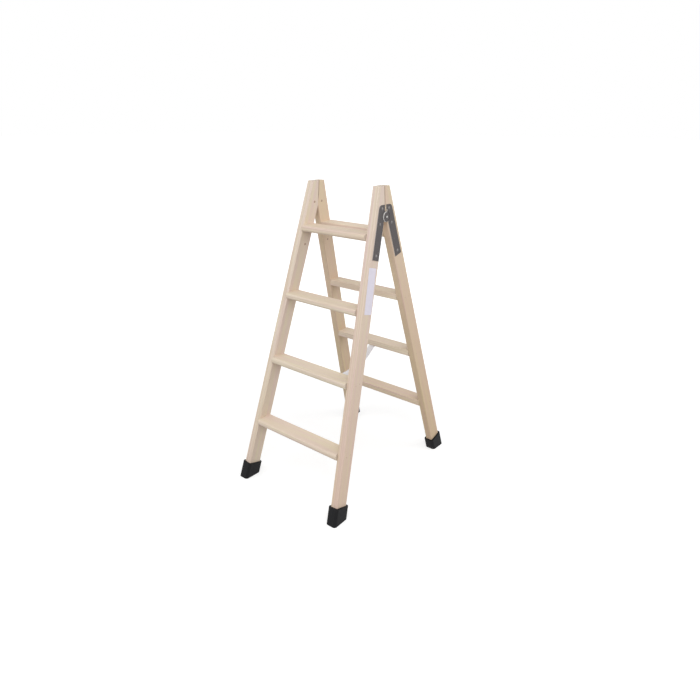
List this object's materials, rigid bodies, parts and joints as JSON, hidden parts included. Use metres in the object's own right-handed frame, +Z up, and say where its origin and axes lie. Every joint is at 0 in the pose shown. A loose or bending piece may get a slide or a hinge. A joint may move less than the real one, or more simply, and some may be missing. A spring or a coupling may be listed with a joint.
{
  "type": "double-sided step ladder",
  "caption": "Free-standing folding wooden trestle ladder: splayed front and rear frames with nosed treads, strap hinges at the top, black shoes and a webbing restraint strap.",
  "frame": {"origin": "middle of the footprint on the floor", "axes": "+Z up, -Y towards the front frame, +X to the right seen from the front"},
  "size_m": [0.5376, 0.7884, 1.202],
  "materials": {
    "pine_stile": "planed pale pine, clear and matt",
    "pine_tread": "planed pale pine with a rounded nosing",
    "shoe_rubber": "moulded black rubber",
    "hinge_steel": "dark grey blackened sheet steel",
    "bright_steel": "zinc-plated steel",
    "webbing": "white woven polyester webbing"
  },
  "bodies": {
    "front_frame": {"front_left_stile": "pine_stile", "front_right_stile": "pine_stile", "front_tread_1": "pine_tread", "front_tread_2": "pine_tread", "front_tread_3": "pine_tread", "front_tread_4": "pine_tread", "front_left_shoe": "shoe_rubber", "front_right_shoe": "shoe_rubber", "front_left_hinge_leaf": "hinge_steel", "front_right_hinge_leaf": "hinge_steel", "front_left_hinge_rivets": "bright_steel", "front_right_hinge_rivets": "bright_steel", "front_left_hinge_screw": "bright_steel", "front_right_hinge_screw": "bright_steel", "front_left_tread_nails": "bright_steel", "front_right_tread_nails": "bright_steel", "front_strap_washer": "bright_steel", "front_strap_screw": "bright_steel", "left_hinge_pin": "hinge_steel", "right_hinge_pin": "hinge_steel", "restraint_strap": "webbing"},
    "rear_frame": {"rear_left_stile": "pine_stile", "rear_right_stile": "pine_stile", "rear_tread_1": "pine_tread", "rear_tread_2": "pine_tread", "rear_tread_3": "pine_tread", "rear_tread_4": "pine_tread", "rear_left_shoe": "shoe_rubber", "rear_right_shoe": "shoe_rubber", "rear_left_hinge_leaf": "hinge_steel", "rear_right_hinge_leaf": "hinge_steel", "rear_left_hinge_rivets": "bright_steel", "rear_right_hinge_rivets": "bright_steel", "rear_left_hinge_screw": "bright_steel", "rear_right_hinge_screw": "bright_steel", "rear_left_tread_nails": "bright_steel", "rear_right_tread_nails": "bright_steel", "rear_strap_washer": "bright_steel", "rear_strap_screw": "bright_steel"}
  },
  "joints": [
    {"name": "fold", "type": "hinge", "parent": "front_frame", "child": "rear_frame", "pos_m": [0, 0, 1.095], "axis": [1, 0, 0], "range_deg": [-32.1, 0], "deforming": ["restraint_strap"]}
  ]
}
